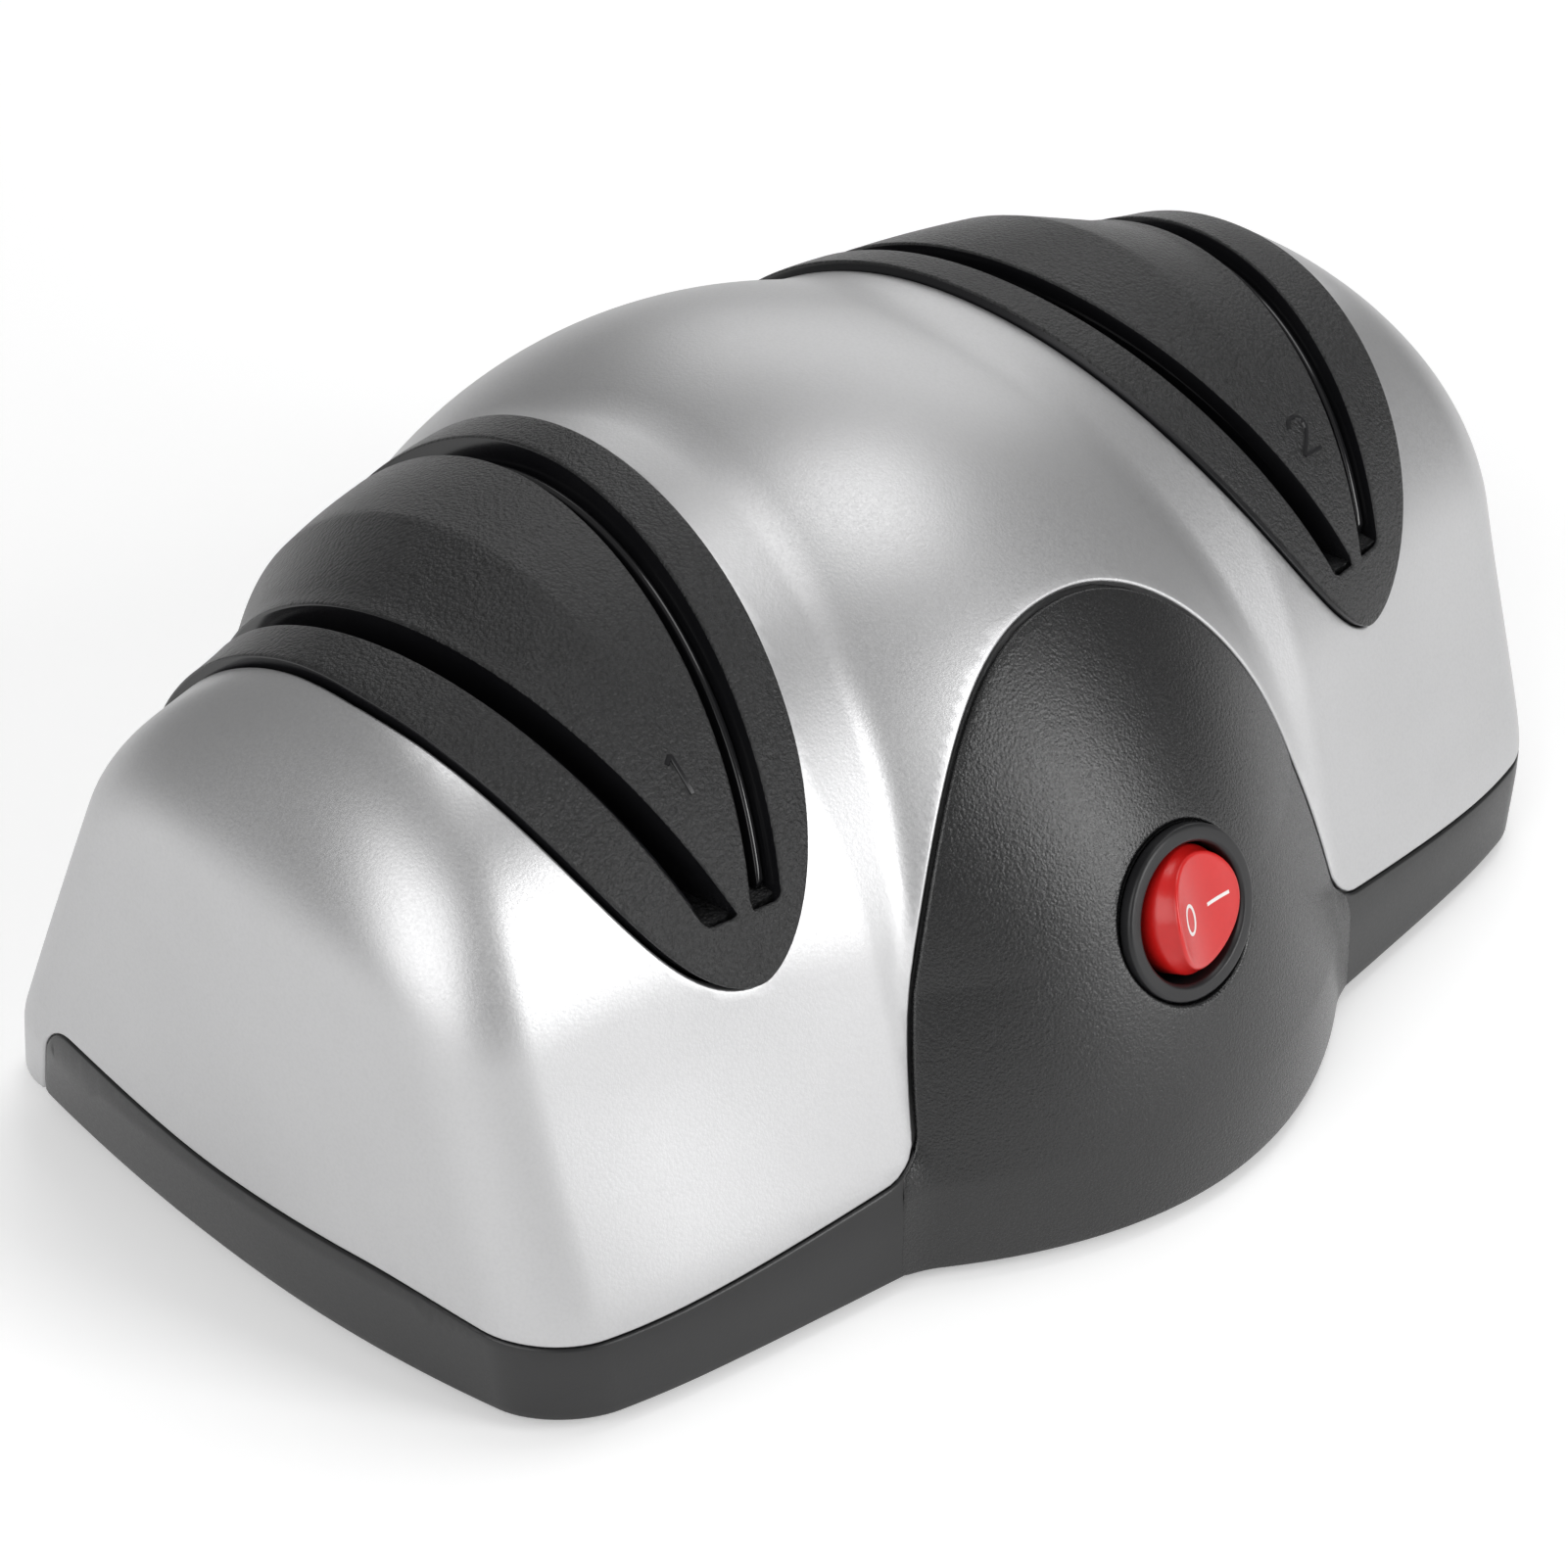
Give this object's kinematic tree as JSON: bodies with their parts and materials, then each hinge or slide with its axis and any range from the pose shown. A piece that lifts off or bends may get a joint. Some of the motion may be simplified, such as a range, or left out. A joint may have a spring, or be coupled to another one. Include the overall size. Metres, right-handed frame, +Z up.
{
  "type": "electric knife sharpener",
  "caption": "Electric knife sharpener with a domed middle, two lobed sharpening stages with slanted slots, and a rocker switch on a front bulge.",
  "frame": {"origin": "middle of the bounding box, at the height of the undersides of the rubber feet", "axes": "+Z up, -Y towards the user (the side with the switch), +X along the length towards the fine stage"},
  "size_m": [0.203, 0.1496, 0.0932],
  "materials": {
    "silver_shell": "satin metallic silver paint on moulded ABS",
    "black_housing": "fine grained black ABS",
    "black_insert": "coarse grained black ABS",
    "gloss_rail": "polished black nylon",
    "coarse_grit": "coarse bonded abrasive",
    "fine_grit": "fine bonded abrasive",
    "steel": "zinc plated steel",
    "plated_steel": "dull plated steel",
    "magnet": "sintered ferrite",
    "copper": "enamelled copper",
    "nylon": "natural nylon",
    "carbon": "carbon and moulding compound",
    "bronze": "sintered bronze",
    "switch_black": "satin black nylon",
    "rocker_red": "glossy red polycarbonate",
    "brass": "bare brass",
    "board": "glass fibre laminate with solder mask",
    "capacitor_sleeve": "shrink sleeve",
    "lead_sleeve": "PVC insulation",
    "rubber": "matt black rubber"
  },
  "bodies": {
    "base": {"motor_case": "plated_steel", "back_magnet": "magnet", "front_magnet": "magnet", "motor_left_bell": "plated_steel", "motor_brush_bell": "nylon", "back_carbon_brush": "carbon", "front_carbon_brush": "carbon", "motor_right_bush": "bronze", "right_outboard_bush": "bronze", "motor_left_bush": "bronze", "left_outboard_bush": "bronze", "switch_body": "switch_black", "right_switch_terminal": "brass", "left_switch_terminal": "brass", "upper_shell": "silver_shell", "lower_housing": "black_housing", "right_guide_insert": "black_insert", "left_guide_insert": "black_insert", "right_outer_rail": "gloss_rail", "left_outer_rail": "gloss_rail", "right_inner_rail": "gloss_rail", "left_inner_rail": "gloss_rail", "right_motor_clamp": "steel", "left_motor_clamp": "steel", "clamp_screw_front_right": "steel", "clamp_screw_front_left": "steel", "clamp_screw_back_right": "steel", "clamp_screw_back_left": "steel", "housing_screw_front_right": "steel", "housing_screw_front_left": "steel", "housing_screw_back_right": "steel", "housing_screw_back_left": "steel", "rectifier_board": "board", "board_screw_right": "steel", "board_screw_left": "steel", "bridge_rectifier": "carbon", "smoothing_capacitor": "capacitor_sleeve", "right_switch_lead": "lead_sleeve", "left_switch_lead": "lead_sleeve", "cord_gland": "rubber", "rubber_foot_front_right": "rubber", "rubber_foot_front_left": "rubber", "rubber_foot_back_right": "rubber", "rubber_foot_back_left": "rubber"},
    "rotor": {"motor_shaft": "steel", "armature_core": "plated_steel", "armature_windings": "copper", "commutator": "copper", "cooling_fan": "nylon", "coarse_hub": "steel", "fine_hub": "steel", "coarse_disc_outer": "coarse_grit", "coarse_disc_inner": "coarse_grit", "fine_disc_outer": "fine_grit", "fine_disc_inner": "fine_grit", "coarse_nut": "steel", "fine_nut": "steel"},
    "rocker": {"switch_rocker": "rocker_red"}
  },
  "joints": [
    {"name": "rotor_spin", "type": "hinge", "parent": "base", "child": "rotor", "pos_m": [0, 0.0053, 0.033], "axis": [1, 0, 0], "continuous": true},
    {"name": "switch_rock", "type": "hinge", "parent": "base", "child": "rocker", "pos_m": [0, -0.06228, 0.03873], "axis": [0, -0.3007, -0.9537], "range_deg": [0, 24]}
  ]
}
